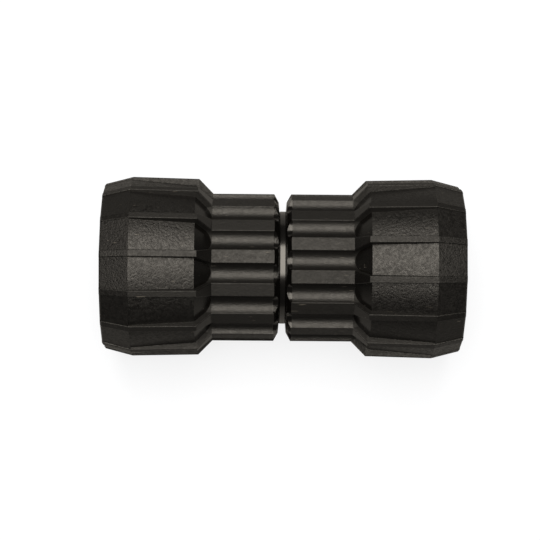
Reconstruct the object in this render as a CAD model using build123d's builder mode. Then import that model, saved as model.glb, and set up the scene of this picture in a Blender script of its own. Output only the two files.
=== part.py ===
from build123d import *
from math import cos, radians, sin, tan
import os

os.makedirs("parts", exist_ok=True)

# Straight compression coupling for plastic water pipe. Sizes are in millimetres.
# The pipe runs along X, and the origin is the middle of the coupling.
# Each piece is drawn upright first: its axis is Z, and z is measured outwards from the
# middle of the coupling. It is then laid down towards its own end.

# Pipe and the socket that takes it
pipe_diameter = 25.0
socket_clearance = 0.2
socket_depth = 26.0
stop_width = 3.0
stop_height = 2.0
stop_edge = 0.4

# Barrel, with the collar that shows between the nuts
barrel_wall = 4.2
barrel_lead = 0.7
thread_depth = 0.85
thread_clearance = 0.1
collar_width = 2.1
collar_seat = 0.35
collar_edge = 0.3

# Seal, press bush and grip ring, which lie between the barrel and the nut
running_fit = 0.05
pipe_gap = 0.1
seal_section = 2.45
seal_length = 2.4
seal_round = 0.8
bush_nose_length = 1.1
bush_flange_thickness = 2.4
bush_relief = 0.1
bush_edge = 0.3
assembly_clearance = 0.2
grip_length = 17.6
grip_thin_wall = 2.1
grip_edge = 0.3
grip_split = 3.0
tooth_count = 5
tooth_depth = 1.1
tooth_land = 0.35
flex_slot_count = 9
flex_slot_width = 1.6
flex_slot_length = 11.0
flex_slot_depth = 1.9

# Nut, inside
cone_clearance = 0.1
thread_runout = 1.2
mouth_clearance = 0.7
mouth_wall = 6.6
mouth_lead = 1.8
hub_wall = 2.4
rim_wall = 2.4
web_thickness = 1.8
web_setback = 1.5
recess_draft = 1.0
recess_floor_gap = 2.5

# Nut, outside: a fluted sleeve, a cone, a ribbed head and a faceted crown
rib_count = 14
sleeve_wall = 3.6
sleeve_length = 21.4
flute_depth = 2.3
flute_radius = 3.4
flute_mouth_length = 1.9
flute_mouth_drop = 0.3
flute_flare = 1.2
end_face_margin = 0.1
end_face_slope = 0.25
end_chamfer = 1.4
cone_length = 4.6
head_rise = 5.3
head_draft = 0.5
head_rib_width = 2.2
head_rib_draft = 3
pocket_depth = 2.1
pocket_shoulder = 0.8
crown_length = 9.2
crown_drop = 2.4
crown_panel_depth = 0.8
rim_edge = 0.5
rib_edge = 0.25

# How the nuts lie: the right nut rests on two ribs, and the left nut close to one rib
rib_pitch = 360 / rib_count
right_nut_turn = rib_pitch / 2
left_nut_turn = 2.5

# Radii worked out from the pipe outwards
pipe_radius = pipe_diameter / 2
socket_radius = pipe_radius + socket_clearance
stop_radius = socket_radius - stop_height
thread_root_radius = socket_radius + barrel_wall
nut_bore_radius = thread_root_radius + thread_depth + thread_clearance
collar_radius = nut_bore_radius + collar_seat
inner_ring_radius = pipe_radius + pipe_gap
seal_outer_radius = inner_ring_radius + seal_section
groove_radius = seal_outer_radius + running_fit
bush_bore_radius = socket_radius + bush_relief
flange_radius = nut_bore_radius - thread_depth - assembly_clearance
grip_thin_radius = inner_ring_radius + grip_thin_wall
mouth_radius = pipe_radius + mouth_clearance

# Stations along the axis, from the middle outwards
collar_face = collar_width / 2
stop_face = stop_width / 2
socket_end = stop_face + socket_depth
seal_end = socket_end + seal_length
barrel_end = seal_end + bush_nose_length
flange_end = barrel_end + bush_flange_thickness
grip_end = flange_end + grip_length
nut_end = grip_end + mouth_wall
sleeve_end = collar_face + sleeve_length
cone_end = sleeve_end + cone_length
crown_start = nut_end - crown_length

# Radii of the nut's outside
end_face_radius = collar_radius + end_face_margin
flute_floor_radius = nut_bore_radius + sleeve_wall
sleeve_radius = flute_floor_radius + flute_depth
head_radius = sleeve_radius + head_rise
head_start_radius = head_radius - head_draft
pocket_start_radius = head_start_radius - pocket_depth
rim_radius = head_radius - crown_drop


def lay_down(upright, turn, end):
    """Turn an upright piece about its own axis and lay it towards one end of X."""
    return upright.rotate(Axis.Z, turn).rotate(Axis.Y, 90 * end)


# Coupling body: half the barrel is revolved and mirrored about the middle
with BuildPart() as barrel:
    with BuildSketch(Plane.XZ):
        with BuildLine():
            Polyline(
                (stop_radius, 0),
                (stop_radius, stop_face - stop_edge),
                (stop_radius + stop_edge, stop_face),
                (socket_radius, stop_face),
                (socket_radius, socket_end),
                (groove_radius, socket_end),
                (groove_radius, barrel_end),
                (thread_root_radius - barrel_lead, barrel_end),
                (thread_root_radius, barrel_end - barrel_lead),
                (thread_root_radius, collar_face),
                (collar_radius, collar_face),
                (collar_radius, 0),
                close=True,
            )
        make_face()
    revolve(axis=Axis.Z)
    mirror(about=Plane.XY)
    collar_rims = barrel.edges().filter_by(GeomType.CIRCLE).group_by(SortBy.RADIUS)[-1]
    fillet(collar_rims, collar_edge)

# Seal ring, squeezed to flat sides between the socket's shoulder and the bush
with BuildPart() as seal:
    with BuildSketch(Plane.XZ):
        with Locations(((inner_ring_radius + seal_outer_radius) / 2, (socket_end + seal_end) / 2)):
            RectangleRounded(seal_section, seal_length, seal_round)
    revolve(axis=Axis.Z)

# Press bush: its nose backs the seal and its flange sits on the barrel's end
with BuildPart() as bush:
    with BuildSketch(Plane.XZ):
        with BuildLine():
            Polyline(
                (bush_bore_radius, seal_end),
                (seal_outer_radius, seal_end),
                (seal_outer_radius, barrel_end),
                (flange_radius - bush_edge, barrel_end),
                (flange_radius, barrel_end + bush_edge),
                (flange_radius, flange_end - bush_edge),
                (flange_radius - bush_edge, flange_end),
                (bush_bore_radius + bush_edge, flange_end),
                (bush_bore_radius, flange_end - bush_edge),
                close=True,
            )
        make_face()
    revolve(axis=Axis.Z)

# Grip ring: a cone with barbs that let the pipe in and bite when it pulls out
tooth_pitch = grip_length / tooth_count
tooth_root_radius = inner_ring_radius + tooth_depth
barbs = []
for tooth in range(tooth_count):
    tooth_start = flange_end + tooth * tooth_pitch
    barbs.append((inner_ring_radius, tooth_start))
    barbs.append((inner_ring_radius, tooth_start + tooth_land))
    barbs.append((tooth_root_radius, tooth_start + tooth_pitch))

with BuildPart() as grip:
    with BuildSketch(Plane.XZ):
        with BuildLine():
            Polyline(
                *barbs,
                (grip_thin_radius - grip_edge, grip_end),
                (grip_thin_radius, grip_end - grip_edge),
                (flange_radius, flange_end + grip_edge),
                (flange_radius - grip_edge, flange_end),
                close=True,
            )
        make_face()
    revolve(axis=Axis.Z)
    # Slots from the thick end let the ring close evenly
    with BuildSketch(Plane.XY.offset(flange_end)):
        with PolarLocations(flange_radius, flex_slot_count, start_angle=180 / flex_slot_count):
            Rectangle(2 * flex_slot_depth, flex_slot_width)
    extrude(amount=flex_slot_length, mode=Mode.SUBTRACT)
    # The split runs the whole length, on one side
    with BuildSketch(Plane.XY.offset(flange_end)):
        Rectangle(2 * flange_radius, grip_split, align=(Align.MIN, Align.CENTER))
    extrude(amount=grip_length, mode=Mode.SUBTRACT)

# Sections of the nut's outside: the cone's wall runs from under the flutes to the pockets
fluted_start = collar_face + end_face_slope
half_pitch_angle = radians(rib_pitch / 2)
sleeve_corner_radius = sleeve_radius / cos(half_pitch_angle)
core_radius = flute_floor_radius - flute_depth / 2
cone_slope = (head_start_radius - sleeve_radius) / cone_length
wall_start = sleeve_end + pocket_shoulder / 4 - (flute_floor_radius - core_radius) / cone_slope
wall_end = cone_end + pocket_shoulder
wall_slope = (pocket_start_radius - core_radius) / (wall_end - wall_start)
sleeve_run_end = wall_start + (sleeve_corner_radius - core_radius) / wall_slope
crown_panel_radius = head_radius - crown_panel_depth
rim_panel_radius = rim_radius - crown_panel_depth
rim_start = nut_end - rim_edge
rim_start_radius = rim_radius + rim_edge * crown_drop / crown_length

# One rib of the nut, from the sleeve's flat top up the cone, along the head and the crown
flute_centre_radius = flute_floor_radius + flute_radius
flute_centre_height = flute_centre_radius * cos(half_pitch_angle) - sleeve_radius
flute_half_chord = (flute_radius**2 - flute_centre_height**2) ** 0.5
flat_half_width = flute_centre_radius * sin(half_pitch_angle) - flute_half_chord
rib_root_radius = flute_floor_radius - flute_depth
rib_sections = (
    (sleeve_end, sleeve_radius, 2 * flat_half_width),
    (cone_end, head_start_radius, head_rib_width),
    (crown_start, head_radius, head_rib_width),
    (rim_start, rim_start_radius, head_rib_width),
    (nut_end, rim_radius - rim_edge, head_rib_width),
)
with BuildPart() as rib:
    for station, top_radius, top_width in rib_sections:
        height = top_radius - rib_root_radius
        root_width = top_width + 2 * height * tan(radians(head_rib_draft))
        with BuildSketch(Plane.XY.offset(station)) as rib_section:
            with Locations((rib_root_radius, 0)):
                Trapezoid(
                    root_width,
                    height,
                    90 - head_rib_draft,
                    rotation=-90,
                    align=(Align.CENTER, Align.MIN),
                )
            fillet(rib_section.vertices().group_by(Axis.X)[-1], rib_edge)
    loft(ruled=True)

# One web of the nut's recess, which runs from half-way into the hub to half-way into the rim
recess_floor = wall_end + recess_floor_gap
hub_base_radius = nut_bore_radius + hub_wall
hub_end_radius = mouth_radius + mouth_lead + hub_wall
rim_inner_radius = rim_panel_radius - rim_wall
with BuildPart() as web:
    with BuildSketch(Plane.XZ):
        with BuildLine():
            Polyline(
                (hub_base_radius - hub_wall / 2, recess_floor),
                (rim_inner_radius, recess_floor),
                (rim_inner_radius + rim_wall / 2, nut_end - web_setback),
                (hub_end_radius - hub_wall / 2, nut_end - web_setback),
                close=True,
            )
        make_face()
    extrude(amount=web_thickness / 2, both=True)

# Nut, drawn upright: fluted sleeve, turned floor, crown and ribs, then the inside
with BuildPart() as nut:
    # Sleeve with flat rib tops and hollow flutes, run on into the cone's wall
    with BuildSketch(Plane.XY.offset(collar_face)) as fluted_section:
        RegularPolygon(sleeve_radius, rib_count, major_radius=False, rotation=rib_pitch / 2)
        with PolarLocations(flute_centre_radius, rib_count, start_angle=rib_pitch / 2):
            Circle(flute_radius, mode=Mode.SUBTRACT)
        fillet(fluted_section.vertices(), rib_edge)
    extrude(amount=sleeve_run_end - collar_face)
    # Each flute opens a little at the inner end and flares where it runs into the cone
    with PolarLocations(flute_centre_radius, rib_count, start_angle=rib_pitch / 2):
        with Locations((0, 0, collar_face)):
            Cone(
                flute_radius + flute_mouth_drop,
                flute_radius,
                flute_mouth_length,
                align=(Align.CENTER, Align.CENTER, Align.MIN),
                mode=Mode.SUBTRACT,
            )
        with Locations((0, 0, sleeve_end)):
            Cone(
                flute_radius,
                flute_radius + flute_flare,
                cone_length,
                align=(Align.CENTER, Align.CENTER, Align.MIN),
                mode=Mode.SUBTRACT,
            )
    # Floor under the flutes, wall of the cone and floor of the pockets between the ribs
    with BuildSketch(Plane.XZ):
        with BuildLine():
            Polyline(
                (0, fluted_start),
                (core_radius, fluted_start),
                (core_radius, wall_start),
                (pocket_start_radius, wall_end),
                (crown_panel_radius, crown_start),
                (0, crown_start),
                close=True,
            )
        make_face()
    revolve(axis=Axis.Z)
    # Crown: a flat panel between each two ribs, drawn in towards the rim
    with BuildSketch(Plane.XY.offset(crown_start)):
        RegularPolygon(crown_panel_radius, rib_count, major_radius=False)
    with BuildSketch(Plane.XY.offset(nut_end)):
        RegularPolygon(rim_panel_radius, rib_count, major_radius=False)
    loft(ruled=True)
    rim = nut.faces().sort_by(Axis.Z)[-1]
    chamfer(rim.outer_wire().edges(), rim_edge)
    with PolarLocations(0, rib_count):
        add(rib.part)
    # Inner end: a shallow cone, then a steep chamfer across the rib tops
    with BuildSketch(Plane.XZ):
        with BuildLine():
            Polyline(
                (end_face_radius, collar_face),
                (flute_floor_radius - flute_mouth_drop, fluted_start),
                (sleeve_radius, fluted_start + end_chamfer),
                (sleeve_corner_radius + flute_radius, fluted_start + end_chamfer + flute_radius),
                (sleeve_corner_radius + flute_radius, collar_face - end_chamfer),
                (end_face_radius, collar_face - end_chamfer),
                close=True,
            )
        make_face()
    revolve(axis=Axis.Z, mode=Mode.SUBTRACT)
    # Thread bore, cone over the grip ring, shoulder and pipe mouth
    with BuildSketch(Plane.XZ):
        with BuildLine():
            Polyline(
                (0, collar_face),
                (nut_bore_radius, collar_face),
                (nut_bore_radius, barrel_end + thread_runout),
                (flange_radius + cone_clearance, flange_end),
                (grip_thin_radius + cone_clearance, grip_end),
                (mouth_radius, grip_end),
                (mouth_radius, nut_end - mouth_lead),
                (mouth_radius + mouth_lead, nut_end),
                (0, nut_end),
                close=True,
            )
        make_face()
    revolve(axis=Axis.Z, mode=Mode.SUBTRACT)
    # Moulding recess in the outer end, which leaves a hub, a rim and a web behind each rib
    with BuildSketch(Plane.XZ):
        with BuildLine():
            Polyline(
                (hub_base_radius, recess_floor),
                (rim_inner_radius - recess_draft, recess_floor),
                (rim_inner_radius, nut_end),
                (hub_end_radius, nut_end),
                close=True,
            )
        make_face()
    revolve(axis=Axis.Z, mode=Mode.SUBTRACT)
    with PolarLocations(0, rib_count):
        add(web.part)

# Finished pieces, laid along X
with BuildPart() as coupling_body:
    add(lay_down(barrel.part, 0, 1))
coupling_body.part.label = "coupling_body"
export_step(coupling_body.part, "parts/coupling_body.step")

for end_name, end, nut_turn in (("left", -1, left_nut_turn), ("right", 1, right_nut_turn)):
    with BuildPart() as end_nut:
        add(lay_down(nut.part, nut_turn, end))
    end_nut.part.label = end_name + "_nut"
    export_step(end_nut.part, "parts/" + end_nut.part.label + ".step")

    with BuildPart() as end_seal:
        add(lay_down(seal.part, 0, end))
    end_seal.part.label = end_name + "_seal_ring"
    export_step(end_seal.part, "parts/" + end_seal.part.label + ".step")

    with BuildPart() as end_bush:
        add(lay_down(bush.part, 0, end))
    end_bush.part.label = end_name + "_press_bush"
    export_step(end_bush.part, "parts/" + end_bush.part.label + ".step")

    with BuildPart() as end_grip:
        add(lay_down(grip.part, 0, end))
    end_grip.part.label = end_name + "_grip_ring"
    export_step(end_grip.part, "parts/" + end_grip.part.label + ".step")
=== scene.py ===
from math import cos, pi, radians, sin

import bpy
from mathutils import Matrix, Vector


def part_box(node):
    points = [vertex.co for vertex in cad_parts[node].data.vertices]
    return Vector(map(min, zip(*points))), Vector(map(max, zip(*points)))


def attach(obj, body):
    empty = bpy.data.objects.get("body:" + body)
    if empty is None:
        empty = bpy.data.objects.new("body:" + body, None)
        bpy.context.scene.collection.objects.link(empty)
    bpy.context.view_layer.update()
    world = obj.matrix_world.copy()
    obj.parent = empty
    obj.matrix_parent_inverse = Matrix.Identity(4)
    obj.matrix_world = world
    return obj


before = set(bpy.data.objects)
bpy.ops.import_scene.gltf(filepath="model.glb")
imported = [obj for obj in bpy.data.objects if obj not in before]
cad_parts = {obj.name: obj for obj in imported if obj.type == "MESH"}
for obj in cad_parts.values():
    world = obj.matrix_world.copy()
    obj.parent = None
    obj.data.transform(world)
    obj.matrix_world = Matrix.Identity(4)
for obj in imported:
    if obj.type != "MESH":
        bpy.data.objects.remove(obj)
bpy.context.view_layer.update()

# Straight compression coupling for 25 mm water pipe, lying on a white table and seen from
# above. Lengths are in metres, and the pipe's axis is X.
MM = 0.001

TABLE_HEIGHT = min(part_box("left_nut")[0].z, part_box("right_nut")[0].z)

# Screw thread between the barrel and the nuts: both halves keep clear of each other
THREAD_PITCH = 4 * MM
THREAD_HEIGHT = 0.8 * MM
THREAD_SINK = 0.1 * MM
THREAD_ROOT_WIDTH = 2.2 * MM
THREAD_CREST_WIDTH = 1.3 * MM
THREAD_RUNOUT_TURNS = 0.4
THREAD_TIP_SCALE = 0.04
THREAD_POINTS_PER_TURN = 72
THREAD_SHARP_ANGLE = radians(25)
BARREL_WALL_RADIUS = 16.9 * MM
BARREL_THREAD_START = 3.4 * MM
BARREL_THREAD_TURNS = 6.5
NUT_BORE_RADIUS = 17.85 * MM
NUT_THREAD_START = BARREL_THREAD_START - THREAD_PITCH / 2
NUT_THREAD_TURNS = 7.2
FACING_OUT = -pi / 2
FACING_IN = pi / 2

# Stations and radii of the nut's outside, where one finish gives way to the next
FLUTE_MOUTH_END = 2.97 * MM
SLEEVE_END = 22.45 * MM
SLEEVE_FLAT_RADIUS = 23.73 * MM
POCKET_INNER_END = 27.85 * MM
POCKET_INNER_RADIUS = 26.45 * MM
POCKET_OUTER_END = 48.4 * MM
POCKET_OUTER_RADIUS = 28.25 * MM
POCKET_MARGIN = 0.12 * MM
STEEP_FACING = -0.45

# Finishes of the nut: sizes as drawn, and roughness from the smoothest to the coarsest spot
SPARK_GRAIN = 0.85 * MM
GROUND_GRAIN = 0.6 * MM
GRAIN_DEPTH = 0.7 * MM
GROUND_RELIEF, SPARK_RELIEF, POLISHED_RELIEF = 0.2, 0.34, 0.04
WORN_PATCH = 1.5 * MM
GROUND_SHARE, SPARK_SHARE = 0.5, 0.6
NOISE_LOW, NOISE_HIGH = 0.4, 0.6
RIB_ROUGHNESS = (0.48, 0.64)
CROWN_ROUGHNESS = (0.31, 0.54)
FLUTE_ROUGHNESS = (0.38, 0.54)
POCKET_ROUGHNESS = (0.28, 0.56)
CONE_ROUGHNESS = 0.22
MOUTH_ROUGHNESS = 0.2
SCUFF_CELL = (4 * MM, 0.7 * MM, 0.7 * MM)
SCUFF_FADE_IN, SCUFF_FULL = 0.75, 0.8
BLACK_PLASTIC = "0c0b0a"
SCUFFED_PLASTIC = "4c4944"
PLASTIC_IOR = 1.49

# Finer grain of the body and of the pieces inside the nuts
BODY_RIPPLE = 3 * MM
BODY_ROUGHNESS = (0.16, 0.24)
BODY_IOR = 1.6
INNER_GRAIN = 0.8 * MM
INNER_ROUGHNESS_SPREAD = 0.05
FINE_RELIEF = 0.15
FINE_DEPTH = 0.05 * MM

# Table and room
TABLE_REACH = 3.0
TABLE_GLOW = 0.78
TABLE_SHADE = (0.25, 0.27, 0.31, 1)
TABLE_GREY = "969696"
ROOM_GREY = (0.05, 0.05, 0.05, 1)
PLAIN_WHITE = (1, 1, 1, 1)


def linear(hex_colour):
    """Linear colour of an sRGB hex value, with an alpha of 1."""
    channels = [int(hex_colour[place:place + 2], 16) / 255 for place in (0, 2, 4)]
    return tuple(c / 12.92 if c <= 0.04045 else ((c + 0.055) / 1.055) ** 2.4 for c in channels) + (1.0,)


def add_node(tree, kind, settings=None, **links):
    """Add a node. Settings are its own properties, and links are values or sockets.

    A link is named for its input, with _ for a space, or is _ and the input's number.
    """
    node = tree.nodes.new(kind)
    for name, value in (settings or {}).items():
        setattr(node, name, value)
    for name, value in links.items():
        socket = node.inputs[int(name[1:]) if name[1:].isdigit() else name.replace("_", " ")]
        if isinstance(value, bpy.types.NodeSocket):
            tree.links.new(value, socket)
        else:
            socket.default_value = value
    return node


def new_material(name):
    """An empty material and its node tree."""
    material = bpy.data.materials.new(name)
    material.use_nodes = True
    material.node_tree.nodes.clear()
    return material, material.node_tree


def moulded_black_polypropylene():
    """Nut: black polypropylene from a steel mould.

    The flats and ribs are satin from a ground mould. The pockets on the head are spark
    eroded and sparkle in the light. The cone, the chamfers and the flutes' mouths were left
    polished, so they look black until they catch the lamp.
    """
    material, tree = new_material("moulded black polypropylene")
    surface = add_node(tree, "ShaderNodeTexCoord")
    place = surface.outputs["Object"]
    axes = add_node(tree, "ShaderNodeSeparateXYZ", Vector=place).outputs
    facing = add_node(tree, "ShaderNodeSeparateXYZ", Vector=surface.outputs["Normal"]).outputs
    along = add_node(tree, "ShaderNodeMath", {"operation": "ABSOLUTE"}, _0=axes["X"]).outputs[0]
    across = add_node(tree, "ShaderNodeCombineXYZ", Y=axes["Y"], Z=axes["Z"]).outputs[0]
    radius = add_node(
        tree, "ShaderNodeVectorMath", {"operation": "LENGTH"}, _0=across,
    ).outputs["Value"]
    end = add_node(tree, "ShaderNodeMath", {"operation": "SIGN"}, _0=axes["X"]).outputs[0]
    outward = add_node(
        tree, "ShaderNodeMath", {"operation": "MULTIPLY"}, _0=facing["X"], _1=end,
    ).outputs[0]

    # Pockets: the turned floor between the ribs of the head
    floor = add_node(
        tree, "ShaderNodeMapRange", {"clamp": False},
        Value=along, From_Min=POCKET_INNER_END, From_Max=POCKET_OUTER_END,
        To_Min=POCKET_INNER_RADIUS, To_Max=POCKET_OUTER_RADIUS,
    ).outputs[0]
    on_floor = add_node(
        tree, "ShaderNodeMath", {"operation": "COMPARE"}, _0=radius, _1=floor, _2=POCKET_MARGIN,
    ).outputs[0]
    on_head = add_node(
        tree, "ShaderNodeMath", {"operation": "COMPARE"},
        _0=along, _1=(POCKET_INNER_END + POCKET_OUTER_END) / 2,
        _2=(POCKET_OUTER_END - POCKET_INNER_END) / 2,
    ).outputs[0]
    pocket = add_node(
        tree, "ShaderNodeMath", {"operation": "MULTIPLY"}, _0=on_floor, _1=on_head,
    ).outputs[0]

    # Flutes of the sleeve, with their mouths at the inner end
    below_flats = add_node(
        tree, "ShaderNodeMath", {"operation": "LESS_THAN"}, _0=radius, _1=SLEEVE_FLAT_RADIUS,
    ).outputs[0]
    on_sleeve = add_node(
        tree, "ShaderNodeMath", {"operation": "LESS_THAN"}, _0=along, _1=SLEEVE_END,
    ).outputs[0]
    flute = add_node(
        tree, "ShaderNodeMath", {"operation": "MULTIPLY"}, _0=below_flats, _1=on_sleeve,
    ).outputs[0]
    at_inner_end = add_node(
        tree, "ShaderNodeMath", {"operation": "LESS_THAN"}, _0=along, _1=FLUTE_MOUTH_END,
    ).outputs[0]
    mouth = add_node(
        tree, "ShaderNodeMath", {"operation": "MULTIPLY"}, _0=flute, _1=at_inner_end,
    ).outputs[0]

    # Cone and chamfers: whatever faces the middle of the coupling steeply
    steep = add_node(
        tree, "ShaderNodeMath", {"operation": "LESS_THAN"}, _0=outward, _1=STEEP_FACING,
    ).outputs[0]

    # Spark-eroded grain is about 0.4 mm, and is drawn twice as coarse to show
    sparkle = add_node(
        tree, "ShaderNodeTexNoise", Vector=place, Scale=1 / SPARK_GRAIN, Detail=4.0, Roughness=0.65,
    ).outputs["Fac"]
    # Ground steel leaves a finer grain, about 0.3 mm, and it too is drawn twice as coarse
    satin = add_node(
        tree, "ShaderNodeTexNoise", Vector=place, Scale=1 / GROUND_GRAIN, Detail=3.0, Roughness=0.6,
    ).outputs["Fac"]
    grain = add_node(
        tree, "ShaderNodeMix", {"data_type": "FLOAT"}, Factor=pocket, _2=satin, _3=sparkle,
    ).outputs[0]
    relief = add_node(
        tree, "ShaderNodeMapRange", Value=pocket, To_Min=GROUND_RELIEF, To_Max=SPARK_RELIEF,
    ).outputs[0]
    polished = add_node(tree, "ShaderNodeMath", {"operation": "MAXIMUM"}, _0=steep, _1=mouth).outputs[0]
    relief = add_node(
        tree, "ShaderNodeMix", {"data_type": "FLOAT"}, Factor=polished, _2=relief, _3=POLISHED_RELIEF,
    ).outputs[0]
    bump = add_node(
        tree, "ShaderNodeBump", Strength=relief, Distance=GRAIN_DEPTH, Height=grain,
    ).outputs[0]

    # Uneven patches, about 1.5 mm across, where the grain has worn smooth
    patches = add_node(
        tree, "ShaderNodeTexNoise", Vector=place, Scale=1 / WORN_PATCH, Detail=5.0, Roughness=0.7,
    ).outputs["Fac"]
    uneven = add_node(
        tree, "ShaderNodeMix", {"data_type": "FLOAT"}, Factor=GROUND_SHARE, _2=patches, _3=satin,
    ).outputs[0]
    mottled = add_node(
        tree, "ShaderNodeMix", {"data_type": "FLOAT"}, Factor=SPARK_SHARE, _2=patches, _3=sparkle,
    ).outputs[0]
    on_crown = add_node(
        tree, "ShaderNodeMath", {"operation": "GREATER_THAN"}, _0=along, _1=POCKET_OUTER_END,
    ).outputs[0]

    # Ribs and flats first, and then each zone over the ones before it
    smoothest, coarsest = RIB_ROUGHNESS
    roughness = add_node(
        tree, "ShaderNodeMapRange", Value=uneven,
        From_Min=NOISE_LOW, From_Max=NOISE_HIGH, To_Min=smoothest, To_Max=coarsest,
    ).outputs[0]
    grained_zones = (
        (on_crown, uneven, CROWN_ROUGHNESS),
        (flute, uneven, FLUTE_ROUGHNESS),
        (pocket, mottled, POCKET_ROUGHNESS),
    )
    for zone, noise, (smoothest, coarsest) in grained_zones:
        zone_roughness = add_node(
            tree, "ShaderNodeMapRange", Value=noise,
            From_Min=NOISE_LOW, From_Max=NOISE_HIGH, To_Min=smoothest, To_Max=coarsest,
        ).outputs[0]
        roughness = add_node(
            tree, "ShaderNodeMix", {"data_type": "FLOAT"}, Factor=zone, _2=roughness, _3=zone_roughness,
        ).outputs[0]
    for zone, zone_roughness in ((steep, CONE_ROUGHNESS), (mouth, MOUTH_ROUGHNESS)):
        roughness = add_node(
            tree, "ShaderNodeMix", {"data_type": "FLOAT"}, Factor=zone, _2=roughness, _3=zone_roughness,
        ).outputs[0]

    # A few pale scuffs from handling, about 2 mm long and 0.3 mm wide
    drawn_out = add_node(
        tree, "ShaderNodeVectorMath", {"operation": "MULTIPLY"},
        _0=place, _1=[1 / length for length in SCUFF_CELL],
    ).outputs[0]
    streaks = add_node(
        tree, "ShaderNodeTexNoise", Vector=drawn_out, Scale=1.0, Detail=1.0,
    ).outputs["Fac"]
    scuffs = add_node(
        tree, "ShaderNodeMapRange", Value=streaks, From_Min=SCUFF_FADE_IN, From_Max=SCUFF_FULL,
    ).outputs[0]
    colour = add_node(
        tree, "ShaderNodeMix", {"data_type": "RGBA"},
        Factor=scuffs, _6=linear(BLACK_PLASTIC), _7=linear(SCUFFED_PLASTIC),
    ).outputs[2]
    shader = add_node(
        tree, "ShaderNodeBsdfPrincipled",
        Base_Color=colour, Roughness=roughness, IOR=PLASTIC_IOR, Normal=bump,
    )
    add_node(tree, "ShaderNodeOutputMaterial", Surface=shader.outputs[0])
    return material


def polished_black_polypropylene():
    """Body: the same plastic from a polished mould, which gives the collar its gloss."""
    material, tree = new_material("polished black polypropylene")
    place = add_node(tree, "ShaderNodeTexCoord").outputs["Object"]
    ripple = add_node(
        tree, "ShaderNodeTexNoise", Vector=place, Scale=1 / BODY_RIPPLE, Detail=2.0,
    ).outputs["Fac"]
    bump = add_node(
        tree, "ShaderNodeBump", Strength=FINE_RELIEF, Distance=FINE_DEPTH, Height=ripple,
    ).outputs[0]
    smoothest, coarsest = BODY_ROUGHNESS
    roughness = add_node(
        tree, "ShaderNodeMapRange", Value=ripple, To_Min=smoothest, To_Max=coarsest,
    ).outputs[0]
    shader = add_node(
        tree, "ShaderNodeBsdfPrincipled",
        Base_Color=linear(BLACK_PLASTIC), Roughness=roughness, IOR=BODY_IOR, Normal=bump,
    )
    add_node(tree, "ShaderNodeOutputMaterial", Surface=shader.outputs[0])
    return material


def inner_plastic(name, colour, roughness, ior):
    """Pieces inside the nuts: even colour, with the fine grain that their mould left."""
    material, tree = new_material(name)
    place = add_node(tree, "ShaderNodeTexCoord").outputs["Object"]
    grain = add_node(
        tree, "ShaderNodeTexNoise", Vector=place, Scale=1 / INNER_GRAIN, Detail=3.0,
    ).outputs["Fac"]
    bump = add_node(
        tree, "ShaderNodeBump", Strength=FINE_RELIEF, Distance=FINE_DEPTH, Height=grain,
    ).outputs[0]
    uneven = add_node(
        tree, "ShaderNodeMapRange", Value=grain,
        To_Min=roughness - INNER_ROUGHNESS_SPREAD, To_Max=roughness + INNER_ROUGHNESS_SPREAD,
    ).outputs[0]
    shader = add_node(
        tree, "ShaderNodeBsdfPrincipled",
        Base_Color=linear(colour), Roughness=uneven, IOR=ior, Normal=bump,
    )
    add_node(tree, "ShaderNodeOutputMaterial", Surface=shader.outputs[0])
    return material


def white_laminate():
    """Table: matt white, which the camera sees as plain white with a faint shadow.

    What the camera sees is a little blue, so that the warm lamp leaves it a neutral white.
    """
    material, tree = new_material("white laminate")
    seen = add_node(tree, "ShaderNodeLightPath").outputs["Is Camera Ray"]
    shadowed = add_node(tree, "ShaderNodeBsdfDiffuse", Color=TABLE_SHADE).outputs[0]
    glow = add_node(tree, "ShaderNodeEmission", Color=PLAIN_WHITE, Strength=TABLE_GLOW).outputs[0]
    to_camera = add_node(tree, "ShaderNodeAddShader", _0=shadowed, _1=glow).outputs[0]
    to_others = add_node(tree, "ShaderNodeBsdfDiffuse", Color=linear(TABLE_GREY)).outputs[0]
    both = add_node(tree, "ShaderNodeMixShader", _0=seen, _1=to_others, _2=to_camera).outputs[0]
    add_node(tree, "ShaderNodeOutputMaterial", Surface=both)
    return material


nut_finish = moulded_black_polypropylene()
body_finish = polished_black_polypropylene()
finishes = {
    "coupling_body": body_finish,
    "nut": nut_finish,
    "grip_ring": inner_plastic("moulded natural acetal", "d8d3c4", 0.4, 1.48),
    "press_bush": inner_plastic("moulded black nylon", "1c1c1c", 0.45, 1.53),
    "seal_ring": inner_plastic("moulded nitrile rubber", "141414", 0.6, 1.52),
}
for node_name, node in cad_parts.items():
    for ending, finish in finishes.items():
        if node_name.endswith(ending):
            node.material_slots[0].material = finish


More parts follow.
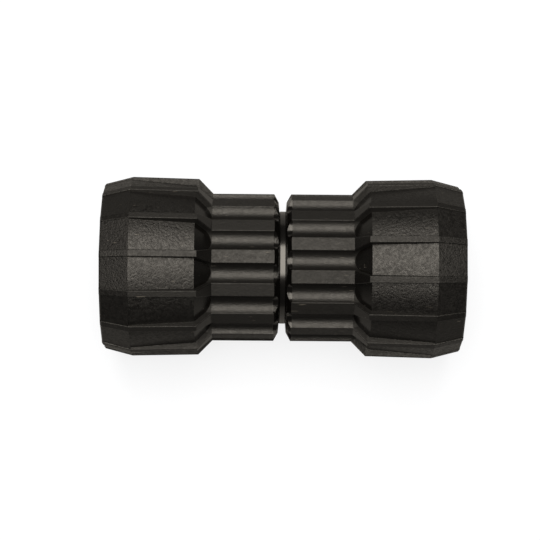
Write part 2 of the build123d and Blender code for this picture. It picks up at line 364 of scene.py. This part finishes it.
def screw_thread_tree():
    """Geometry nodes for a trapezoidal thread ridge that winds along X.

    The ridge stands on a wall of the given radius. Facing turns its section to point out
    from a barrel or into a bore. It fades into the wall at both ends. The second end's ridge
    is the first one turned half-way about Z, so both are right-hand.
    """
    tree = bpy.data.node_groups.new("screw thread", "GeometryNodeTree")
    sizes = (
        ("Wall Radius", "NodeSocketFloat"),
        ("Facing", "NodeSocketFloat"),
        ("Pitch", "NodeSocketFloat"),
        ("Turns", "NodeSocketFloat"),
        ("Start", "NodeSocketFloat"),
        ("Height", "NodeSocketFloat"),
        ("Sink", "NodeSocketFloat"),
        ("Root Width", "NodeSocketFloat"),
        ("Crest Width", "NodeSocketFloat"),
        ("Runout Turns", "NodeSocketFloat"),
        ("Points Per Turn", "NodeSocketInt"),
        ("Ends", "NodeSocketInt"),
        ("First End Turn", "NodeSocketFloat"),
        ("Plastic", "NodeSocketMaterial"),
    )
    for name, kind in sizes:
        tree.interface.new_socket(name, in_out="INPUT", socket_type=kind)
    tree.interface.new_socket("Mesh", in_out="OUTPUT", socket_type="NodeSocketGeometry")
    size = add_node(tree, "NodeGroupInput").outputs

    # Path of the ridge, wound up along Z
    length = add_node(
        tree, "ShaderNodeMath", {"operation": "MULTIPLY"}, _0=size["Pitch"], _1=size["Turns"],
    ).outputs[0]
    spiral = add_node(
        tree, "GeometryNodeCurveSpiral",
        Resolution=size["Points Per Turn"], Rotations=size["Turns"],
        Start_Radius=size["Wall Radius"], End_Radius=size["Wall Radius"], Height=length,
        Reverse=True,
    ).outputs[0]
    path = add_node(tree, "GeometryNodeSetCurveNormal", {"mode": "Z_UP"}, Curve=spiral).outputs[0]

    # Section of the ridge: its foot is sunk a little into the wall
    depth = add_node(
        tree, "ShaderNodeMath", {"operation": "ADD"}, _0=size["Height"], _1=size["Sink"],
    ).outputs[0]
    section = add_node(
        tree, "GeometryNodeCurvePrimitiveQuadrilateral", {"mode": "TRAPEZOID"},
        Height=depth, Bottom_Width=size["Root Width"], Top_Width=size["Crest Width"], Offset=0.0,
    ).outputs[0]
    half_depth = add_node(tree, "ShaderNodeMath", {"operation": "MULTIPLY"}, _0=depth, _1=0.5).outputs[0]
    rise = add_node(
        tree, "ShaderNodeMath", {"operation": "SUBTRACT"}, _0=half_depth, _1=size["Sink"],
    ).outputs[0]
    lift = add_node(tree, "ShaderNodeCombineXYZ", Y=rise).outputs[0]
    section = add_node(tree, "GeometryNodeTransform", Geometry=section, Translation=lift).outputs[0]
    facing = add_node(tree, "ShaderNodeCombineXYZ", Z=size["Facing"]).outputs[0]
    section = add_node(tree, "GeometryNodeTransform", Geometry=section, Rotation=facing).outputs[0]

    # Run-outs: the section shrinks to almost nothing at both ends
    travelled = add_node(tree, "GeometryNodeSplineParameter").outputs["Factor"]
    left_over = add_node(
        tree, "ShaderNodeMath", {"operation": "SUBTRACT"}, _0=1.0, _1=travelled,
    ).outputs[0]
    from_end = add_node(
        tree, "ShaderNodeMath", {"operation": "MINIMUM"}, _0=travelled, _1=left_over,
    ).outputs[0]
    runout = add_node(
        tree, "ShaderNodeMath", {"operation": "DIVIDE"}, _0=size["Runout Turns"], _1=size["Turns"],
    ).outputs[0]
    growth = add_node(
        tree, "ShaderNodeMapRange", Value=from_end, From_Max=runout, To_Min=THREAD_TIP_SCALE, To_Max=1.0,
    ).outputs[0]
    ridge = add_node(
        tree, "GeometryNodeCurveToMesh", Curve=path, Profile_Curve=section, Scale=growth, Fill_Caps=True,
    ).outputs[0]

    # Laid along X from its start, once for each end
    start = add_node(tree, "ShaderNodeCombineXYZ", X=size["Start"]).outputs[0]
    ridge = add_node(
        tree, "GeometryNodeTransform", Geometry=ridge, Translation=start, Rotation=(0, pi / 2, 0),
    ).outputs[0]
    ends = add_node(tree, "GeometryNodePoints", Count=size["Ends"], Position=(0, 0, 0)).outputs[0]
    which_end = add_node(tree, "GeometryNodeInputIndex").outputs[0]
    turn = add_node(
        tree, "ShaderNodeMath", {"operation": "MULTIPLY_ADD"},
        _0=which_end, _1=pi, _2=size["First End Turn"],
    ).outputs[0]
    about_z = add_node(tree, "ShaderNodeCombineXYZ", Z=turn).outputs[0]
    placed = add_node(
        tree, "GeometryNodeInstanceOnPoints", Points=ends, Instance=ridge, Rotation=about_z,
    ).outputs[0]
    mesh = add_node(tree, "GeometryNodeRealizeInstances", Geometry=placed).outputs[0]
    mesh = add_node(tree, "GeometryNodeSetMaterial", Geometry=mesh, Material=size["Plastic"]).outputs[0]
    add_node(tree, "NodeGroupOutput", Mesh=mesh)
    return tree


def make_thread(tree, name, body, sizes):
    """Run the thread's nodes with these sizes, and keep the result as a plain mesh."""
    piece = bpy.data.objects.new(name, bpy.data.meshes.new(name))
    bpy.context.scene.collection.objects.link(piece)
    modifier = piece.modifiers.new("screw thread", "NODES")
    modifier.node_group = tree
    for item in tree.interface.items_tree:
        if item.in_out == "INPUT":
            modifier[item.identifier] = sizes[item.name]
    evaluated = piece.evaluated_get(bpy.context.evaluated_depsgraph_get())
    mesh = bpy.data.meshes.new_from_object(evaluated)
    piece.modifiers.remove(modifier)
    mesh.name = name
    mesh.materials.clear()
    mesh.materials.append(sizes["Plastic"])
    mesh.polygons.foreach_set("material_index", [0] * len(mesh.polygons))
    piece.data = mesh
    mesh.shade_smooth()
    mesh.set_sharp_from_angle(angle=THREAD_SHARP_ANGLE)
    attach(piece, body)
    return piece


thread_tree = screw_thread_tree()
ridge_section = {
    "Pitch": THREAD_PITCH,
    "Height": THREAD_HEIGHT,
    "Sink": THREAD_SINK,
    "Root Width": THREAD_ROOT_WIDTH,
    "Crest Width": THREAD_CREST_WIDTH,
    "Runout Turns": THREAD_RUNOUT_TURNS,
    "Points Per Turn": THREAD_POINTS_PER_TURN,
}
make_thread(thread_tree, "barrel_thread", "barrel", {
    **ridge_section,
    "Wall Radius": BARREL_WALL_RADIUS,
    "Facing": FACING_OUT,
    "Turns": BARREL_THREAD_TURNS,
    "Start": BARREL_THREAD_START,
    "Ends": 2,
    "First End Turn": 0.0,
    "Plastic": body_finish,
})
for end_name, end_turn in (("right", 0.0), ("left", pi)):
    make_thread(thread_tree, end_name + "_nut_thread", end_name + "_cap", {
        **ridge_section,
        "Wall Radius": NUT_BORE_RADIUS,
        "Facing": FACING_IN,
        "Turns": NUT_THREAD_TURNS,
        "Start": NUT_THREAD_START,
        "Ends": 1,
        "First End Turn": end_turn,
        "Plastic": nut_finish,
    })

# Table
corners = [(x * TABLE_REACH, y * TABLE_REACH) for x, y in ((-1, -1), (1, -1), (1, 1), (-1, 1))]
table_mesh = bpy.data.meshes.new("table")
table_mesh.from_pydata([(x, y, TABLE_HEIGHT) for x, y in corners], [], [(0, 1, 2, 3)])
table_mesh.materials.append(white_laminate())
table = bpy.data.objects.new("table", table_mesh)
bpy.context.scene.collection.objects.link(table)

# Camera: almost overhead, a little left of the coupling's middle and rolled by half a degree
CAMERA_ELEVATION = radians(84.1)
CAMERA_ROLL = radians(0.47)
CAMERA_FOOT = Vector((-8.1 * MM, 0, 0))
CAMERA_DISTANCE = 633.75 * MM
FRAME_WIDTH_AT_AXIS = 175.5 * MM
SENSOR_WIDTH = 36
PIXEL = 1 / 540
SHIFT_RIGHT = 12.8 * PIXEL
SHIFT_UP = -2.6 * PIXEL
towards_camera = Vector((0, -cos(CAMERA_ELEVATION), sin(CAMERA_ELEVATION)))
image_up = Vector((0, sin(CAMERA_ELEVATION), cos(CAMERA_ELEVATION)))
image_right = Vector((1, 0, 0))

camera_data = bpy.data.cameras.new("camera")
camera = bpy.data.objects.new("camera", camera_data)
bpy.context.scene.collection.objects.link(camera)
tilt = Matrix.Rotation(pi / 2 - CAMERA_ELEVATION, 4, "X")
roll = Matrix.Rotation(CAMERA_ROLL, 4, "Z")
camera.location = CAMERA_FOOT + towards_camera * CAMERA_DISTANCE
camera.rotation_euler = (tilt @ roll).to_euler()
camera_data.sensor_width = SENSOR_WIDTH
camera_data.lens = SENSOR_WIDTH * CAMERA_DISTANCE / FRAME_WIDTH_AT_AXIS
camera_data.shift_x = SHIFT_RIGHT
camera_data.shift_y = SHIFT_UP
bpy.context.scene.camera = camera


def softbox(name, tilt_up, tilt_right, distance, width, height, radiance, colour):
    """A lamp aimed at the coupling, turned from the camera's line by two angles."""
    direction = towards_camera * cos(tilt_up) * cos(tilt_right)
    direction += image_up * sin(tilt_up) * cos(tilt_right)
    direction += image_right * sin(tilt_right)
    upright = direction.cross(image_right).normalized()
    level = upright.cross(direction)
    lamp_data = bpy.data.lights.new(name, "AREA")
    lamp_data.shape = "RECTANGLE"
    lamp_data.size = width
    lamp_data.size_y = height
    lamp_data.energy = radiance * pi * width * height
    lamp_data.color = colour
    lamp = bpy.data.objects.new(name, lamp_data)
    bpy.context.scene.collection.objects.link(lamp)
    lamp.location = direction * distance
    lamp.rotation_euler = Matrix((level, upright, direction)).transposed().to_euler()
    return lamp


softbox(
    "softbox", tilt_up=radians(15), tilt_right=radians(-2), distance=1.0,
    width=0.66, height=1.2, radiance=6.3, colour=(1.0, 0.925, 0.81),
)

# Dim room, which the camera sees as plain white
world = bpy.data.worlds.new("studio")
world.use_nodes = True
world.node_tree.nodes.clear()
seen = add_node(world.node_tree, "ShaderNodeLightPath").outputs["Is Camera Ray"]
room = add_node(world.node_tree, "ShaderNodeBackground", Color=ROOM_GREY).outputs[0]
backdrop = add_node(world.node_tree, "ShaderNodeBackground", Color=PLAIN_WHITE).outputs[0]
both = add_node(world.node_tree, "ShaderNodeMixShader", _0=seen, _1=room, _2=backdrop).outputs[0]
add_node(world.node_tree, "ShaderNodeOutputWorld", Surface=both)
bpy.context.scene.world = world
bpy.context.scene.view_settings.view_transform = "Standard"
